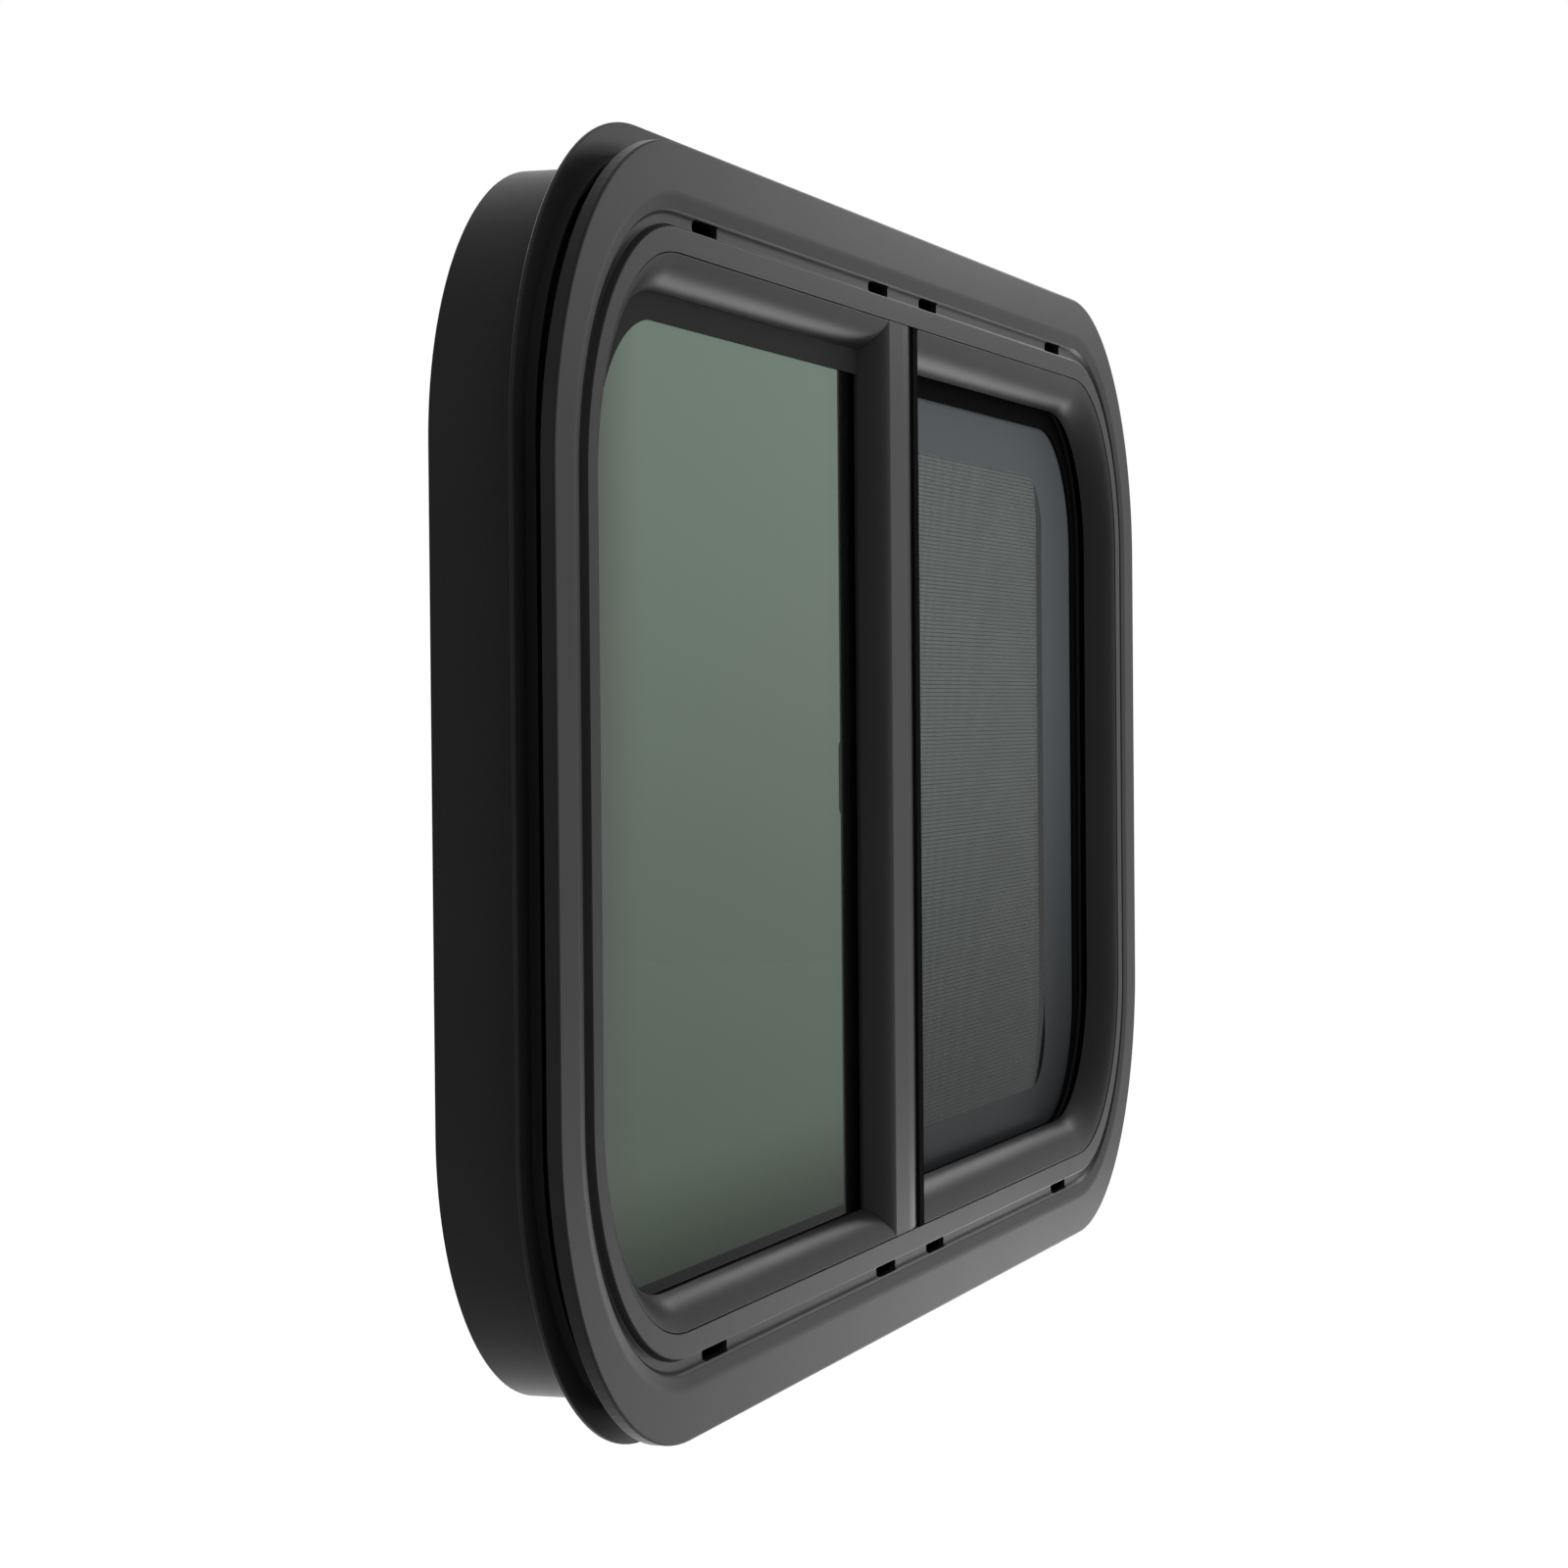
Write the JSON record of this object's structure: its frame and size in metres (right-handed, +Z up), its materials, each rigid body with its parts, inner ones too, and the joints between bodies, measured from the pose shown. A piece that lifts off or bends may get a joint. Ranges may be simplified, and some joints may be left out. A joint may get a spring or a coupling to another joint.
{
  "type": "caravan window",
  "caption": "Rounded metal caravan window with a wall flange, a fixed tinted pane, a sliding pane with an insect screen behind it, and a clamp ring with a deep inner collar.",
  "frame": {"origin": "middle of the window, in the plane where the back of the outer flange meets the wall", "axes": "+X to the right seen from outside, +Y into the vehicle, +Z up"},
  "size_m": [0.8044, 0.049, 0.4556],
  "materials": {
    "frame_coat": "satin dark grey powder coat on aluminium",
    "green_glass": "toughened safety glass, green tint",
    "grey_glass": "toughened safety glass with a dark printed border",
    "soft_seal": "matt dark grey glazing strip",
    "black_rubber": "matt black rubber",
    "screen_coat": "black coated screen frame",
    "black_plastic": "moulded black plastic",
    "screen_weave": "grey woven glass fibre"
  },
  "bodies": {
    "root": {"outer_frame": "frame_coat", "fixed_bead": "frame_coat", "sliding_bead": "frame_coat", "mullion": "frame_coat", "fixed_glass": "green_glass", "sliding_glass": "grey_glass", "fixed_gasket": "soft_seal", "sliding_seal": "black_rubber", "screen_frame": "screen_coat", "screen_mesh": "screen_weave", "clamp_ring": "frame_coat", "mullion_seal": "black_rubber", "meeting_pile": "soft_seal", "glass_bedding": "soft_seal", "upper_track": "black_plastic", "lower_track": "black_plastic", "jamb_seal": "black_rubber", "slider_stile": "screen_coat", "slider_pull": "black_plastic", "pull_catch": "black_plastic", "screen_cord": "black_rubber", "screen_tab": "black_plastic"}
  },
  "joints": []
}
